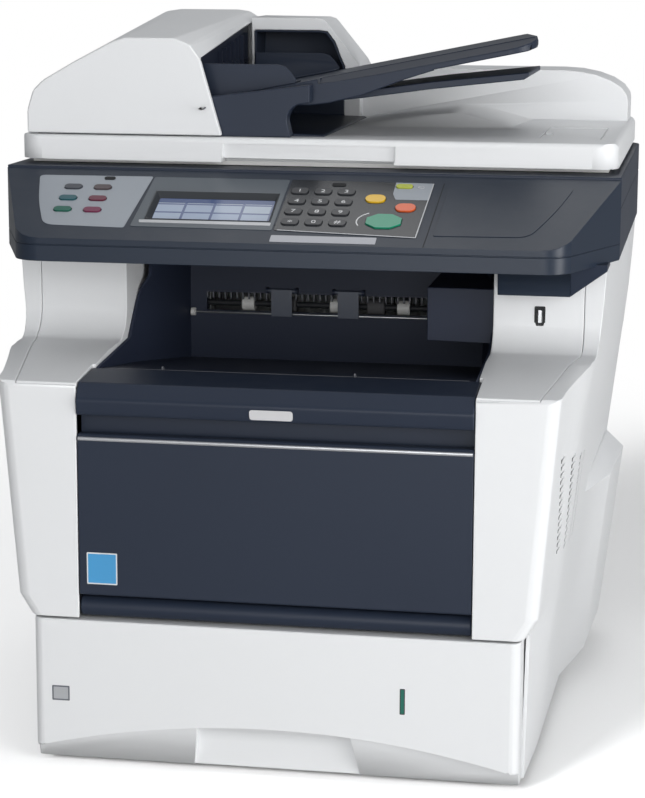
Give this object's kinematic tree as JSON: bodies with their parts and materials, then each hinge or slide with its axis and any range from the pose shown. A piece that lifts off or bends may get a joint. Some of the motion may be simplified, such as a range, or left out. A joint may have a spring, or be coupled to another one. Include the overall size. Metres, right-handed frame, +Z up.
{
  "type": "photocopier",
  "caption": "White and dark blue-grey desktop laser photocopier with a paper drawer, a flatbed scanner on two columns, a tilted control panel and a document feeder.",
  "frame": {"origin": "middle of the outer box, at the bottom of the feet", "axes": "+Z up, front at -Y, right side of the machine as the user faces it at +X"},
  "size_m": [0.494, 0.49, 0.5742],
  "materials": {
    "white_plastic": "fine satin",
    "dark_plastic": "satin, blue-grey",
    "tray_plastic": "satin, blue-grey",
    "steel": "zinc-plated",
    "black_plastic": "matt",
    "guide_blue": "satin",
    "foot_rubber": "matt",
    "roller_rubber": "matt",
    "roller_white": "satin",
    "pad_white": "matt",
    "platen_glass": "clear",
    "screen": "gloss",
    "key_dark": "satin",
    "key_slate": "satin",
    "key_brown": "satin",
    "key_teal": "satin",
    "key_red": "satin",
    "key_green_dark": "satin",
    "key_maroon": "satin",
    "key_green": "satin",
    "key_orange": "satin",
    "key_yellow": "satin",
    "key_lime": "satin"
  },
  "bodies": {
    "base": {"base_frame": "steel", "feet": "foot_rubber", "left_side_cover": "white_plastic", "right_side_cover": "white_plastic", "column_covers": "white_plastic", "output_tray": "tray_plastic", "rear_panel": "white_plastic", "laser_unit": "black_plastic", "process_unit": "black_plastic", "toner_container": "black_plastic", "fuser_unit": "black_plastic", "scanner_body": "dark_plastic", "platen_glass": "platen_glass", "control_panel": "dark_plastic", "touch_screen": "screen"},
    "drawer": {"drawer_box": "black_plastic", "drawer_front": "white_plastic"},
    "lift_plate": {"lift_plate": "steel"},
    "paper_guide_left": {"paper_guide_left": "guide_blue"},
    "paper_guide_right": {"paper_guide_right": "guide_blue"},
    "front_cover": {"front_cover": "dark_plastic"},
    "bypass_tray": {"bypass_tray": "dark_plastic"},
    "rear_cover": {"rear_cover": "white_plastic"},
    "exit_rollers": {"exit_rollers": "roller_white"},
    "exit_flaps": {"exit_flaps": "tray_plastic"},
    "pickup_roller": {"pickup_roller": "roller_rubber"},
    "scan_carriage": {"scan_carriage": "black_plastic"},
    "lid": {"lid_base": "white_plastic", "platen_pad": "pad_white", "feeder_frame": "tray_plastic", "feeder_throat": "dark_plastic"},
    "feeder_cover": {"feeder_cover": "white_plastic"},
    "document_table": {"document_table": "dark_plastic"},
    "document_guide_front": {"document_guide_front": "dark_plastic"},
    "document_guide_rear": {"document_guide_rear": "dark_plastic"},
    "feed_roller": {"feed_roller": "roller_rubber"},
    "eject_stopper": {"eject_stopper": "white_plastic"},
    "power_switch": {"power_switch": "black_plastic"},
    "key_job": {"key_job": "key_slate"},
    "key_box": {"key_box": "key_brown"},
    "key_menu": {"key_menu": "key_teal"},
    "key_copy": {"key_copy": "key_red"},
    "key_send": {"key_send": "key_green_dark"},
    "key_fax": {"key_fax": "key_maroon"},
    "key_start": {"key_start": "key_green"},
    "key_stop": {"key_stop": "key_orange"},
    "key_reset": {"key_reset": "key_yellow"},
    "key_power": {"key_power": "key_lime"},
    "key_1": {"key_1": "key_dark"},
    "key_2": {"key_2": "key_dark"},
    "key_3": {"key_3": "key_dark"},
    "key_4": {"key_4": "key_dark"},
    "key_5": {"key_5": "key_dark"},
    "key_6": {"key_6": "key_dark"},
    "key_7": {"key_7": "key_dark"},
    "key_8": {"key_8": "key_dark"},
    "key_9": {"key_9": "key_dark"},
    "key_star": {"key_star": "key_dark"},
    "key_0": {"key_0": "key_dark"},
    "key_hash": {"key_hash": "key_dark"}
  },
  "joints": [
    {"name": "drawer_slide", "type": "slide", "parent": "base", "child": "drawer", "axis": [0, -1, 0], "range_m": [0, 0.3]},
    {"name": "lift_plate_hinge", "type": "hinge", "parent": "drawer", "child": "lift_plate", "pos_m": [0, 0.009, 0.0153], "axis": [-1, 0, 0], "range_deg": [0, 19]},
    {"name": "paper_guide_slide", "type": "slide", "parent": "drawer", "child": "paper_guide_left", "axis": [1, 0, 0], "range_m": [0, 0.045]},
    {"name": "paper_guide_right_slide", "type": "slide", "parent": "drawer", "child": "paper_guide_right", "axis": [-1, 0, 0], "range_m": [0, 0.045]},
    {"name": "front_cover_hinge", "type": "hinge", "parent": "base", "child": "front_cover", "pos_m": [0, -0.231, 0.131], "axis": [1, 0, 0], "range_deg": [0, 80]},
    {"name": "bypass_tray_hinge", "type": "hinge", "parent": "front_cover", "child": "bypass_tray", "pos_m": [0, -0.236, 0.146], "axis": [1, 0, 0], "range_deg": [0, 70]},
    {"name": "rear_cover_hinge", "type": "hinge", "parent": "base", "child": "rear_cover", "pos_m": [0, 0.2415, 0.1315], "axis": [-1, 0, 0], "range_deg": [0, 80]},
    {"name": "exit_roller_turn", "type": "hinge", "parent": "base", "child": "exit_rollers", "pos_m": [0, 0.047, 0.327], "axis": [1, 0, 0], "continuous": true},
    {"name": "exit_flap_hinge", "type": "hinge", "parent": "base", "child": "exit_flaps", "pos_m": [0, 0.031, 0.341], "axis": [-1, 0, 0], "range_deg": [0, 30]},
    {"name": "pickup_roller_turn", "type": "hinge", "parent": "base", "child": "pickup_roller", "pos_m": [0, -0.166, 0.116], "axis": [1, 0, 0], "continuous": true},
    {"name": "carriage_slide", "type": "slide", "parent": "base", "child": "scan_carriage", "axis": [1, 0, 0], "range_m": [0, 0.376]},
    {"name": "lid_hinge", "type": "hinge", "parent": "base", "child": "lid", "pos_m": [0, 0.233, 0.466], "axis": [-1, 0, 0], "range_deg": [0, 70]},
    {"name": "feeder_cover_hinge", "type": "hinge", "parent": "lid", "child": "feeder_cover", "pos_m": [-0.2328, 0.069, 0.4848], "axis": [0, -1, 0], "range_deg": [0, 75]},
    {"name": "document_table_hinge", "type": "hinge", "parent": "lid", "child": "document_table", "pos_m": [-0.088, 0.05, 0.505], "axis": [0, -1, 0], "range_deg": [0, 22]},
    {"name": "document_guide_slide", "type": "slide", "parent": "document_table", "child": "document_guide_front", "axis": [0, 1, 0], "range_m": [0, 0.06]},
    {"name": "document_guide_rear_slide", "type": "slide", "parent": "document_table", "child": "document_guide_rear", "axis": [0, -1, 0], "range_m": [0, 0.06]},
    {"name": "feed_roller_turn", "type": "hinge", "parent": "lid", "child": "feed_roller", "pos_m": [-0.125, 0.051, 0.52], "axis": [0, 1, 0], "continuous": true},
    {"name": "eject_stopper_hinge", "type": "hinge", "parent": "lid", "child": "eject_stopper", "pos_m": [0.225, 0.024, 0.4795], "axis": [0, 1, 0], "range_deg": [0, 75]},
    {"name": "power_switch_rocker", "type": "hinge", "parent": "base", "child": "power_switch", "pos_m": [0.15, 0.237, 0.092], "axis": [1, 0, 0], "range_deg": [0, 10]},
    {"name": "key_job_press", "type": "slide", "parent": "base", "child": "key_job", "axis": [0, 0.4096, -0.9123], "range_m": [0, 0.0008], "stiffness_N_per_m": 400, "springref_m": -0.0005},
    {"name": "key_box_press", "type": "slide", "parent": "base", "child": "key_box", "axis": [0, 0.4096, -0.9123], "range_m": [0, 0.0008], "stiffness_N_per_m": 400, "springref_m": -0.0005},
    {"name": "key_menu_press", "type": "slide", "parent": "base", "child": "key_menu", "axis": [0, 0.4096, -0.9123], "range_m": [0, 0.0008], "stiffness_N_per_m": 400, "springref_m": -0.0005},
    {"name": "key_copy_press", "type": "slide", "parent": "base", "child": "key_copy", "axis": [0, 0.4096, -0.9123], "range_m": [0, 0.0008], "stiffness_N_per_m": 400, "springref_m": -0.0005},
    {"name": "key_send_press", "type": "slide", "parent": "base", "child": "key_send", "axis": [0, 0.4096, -0.9123], "range_m": [0, 0.0008], "stiffness_N_per_m": 400, "springref_m": -0.0005},
    {"name": "key_fax_press", "type": "slide", "parent": "base", "child": "key_fax", "axis": [0, 0.4096, -0.9123], "range_m": [0, 0.0008], "stiffness_N_per_m": 400, "springref_m": -0.0005},
    {"name": "key_start_press", "type": "slide", "parent": "base", "child": "key_start", "axis": [0, 0.4096, -0.9123], "range_m": [0, 0.0008], "stiffness_N_per_m": 400, "springref_m": -0.0005},
    {"name": "key_stop_press", "type": "slide", "parent": "base", "child": "key_stop", "axis": [0, 0.4096, -0.9123], "range_m": [0, 0.0008], "stiffness_N_per_m": 400, "springref_m": -0.0005},
    {"name": "key_reset_press", "type": "slide", "parent": "base", "child": "key_reset", "axis": [0, 0.4096, -0.9123], "range_m": [0, 0.0008], "stiffness_N_per_m": 400, "springref_m": -0.0005},
    {"name": "key_power_press", "type": "slide", "parent": "base", "child": "key_power", "axis": [0, 0.4096, -0.9123], "range_m": [0, 0.0008], "stiffness_N_per_m": 400, "springref_m": -0.0005},
    {"name": "key_1_press", "type": "slide", "parent": "base", "child": "key_1", "axis": [0, 0.4096, -0.9123], "range_m": [0, 0.0008], "stiffness_N_per_m": 400, "springref_m": -0.0005},
    {"name": "key_2_press", "type": "slide", "parent": "base", "child": "key_2", "axis": [0, 0.4096, -0.9123], "range_m": [0, 0.0008], "stiffness_N_per_m": 400, "springref_m": -0.0005},
    {"name": "key_3_press", "type": "slide", "parent": "base", "child": "key_3", "axis": [0, 0.4096, -0.9123], "range_m": [0, 0.0008], "stiffness_N_per_m": 400, "springref_m": -0.0005},
    {"name": "key_4_press", "type": "slide", "parent": "base", "child": "key_4", "axis": [0, 0.4096, -0.9123], "range_m": [0, 0.0008], "stiffness_N_per_m": 400, "springref_m": -0.0005},
    {"name": "key_5_press", "type": "slide", "parent": "base", "child": "key_5", "axis": [0, 0.4096, -0.9123], "range_m": [0, 0.0008], "stiffness_N_per_m": 400, "springref_m": -0.0005},
    {"name": "key_6_press", "type": "slide", "parent": "base", "child": "key_6", "axis": [0, 0.4096, -0.9123], "range_m": [0, 0.0008], "stiffness_N_per_m": 400, "springref_m": -0.0005},
    {"name": "key_7_press", "type": "slide", "parent": "base", "child": "key_7", "axis": [0, 0.4096, -0.9123], "range_m": [0, 0.0008], "stiffness_N_per_m": 400, "springref_m": -0.0005},
    {"name": "key_8_press", "type": "slide", "parent": "base", "child": "key_8", "axis": [0, 0.4096, -0.9123], "range_m": [0, 0.0008], "stiffness_N_per_m": 400, "springref_m": -0.0005},
    {"name": "key_9_press", "type": "slide", "parent": "base", "child": "key_9", "axis": [0, 0.4096, -0.9123], "range_m": [0, 0.0008], "stiffness_N_per_m": 400, "springref_m": -0.0005},
    {"name": "key_star_press", "type": "slide", "parent": "base", "child": "key_star", "axis": [0, 0.4096, -0.9123], "range_m": [0, 0.0008], "stiffness_N_per_m": 400, "springref_m": -0.0005},
    {"name": "key_0_press", "type": "slide", "parent": "base", "child": "key_0", "axis": [0, 0.4096, -0.9123], "range_m": [0, 0.0008], "stiffness_N_per_m": 400, "springref_m": -0.0005},
    {"name": "key_hash_press", "type": "slide", "parent": "base", "child": "key_hash", "axis": [0, 0.4096, -0.9123], "range_m": [0, 0.0008], "stiffness_N_per_m": 400, "springref_m": -0.0005}
  ],
  "couplings": [
    {"joint": "paper_guide_right_slide", "follows": "paper_guide_slide", "ratio": 1},
    {"joint": "document_guide_rear_slide", "follows": "document_guide_slide", "ratio": 1}
  ]
}
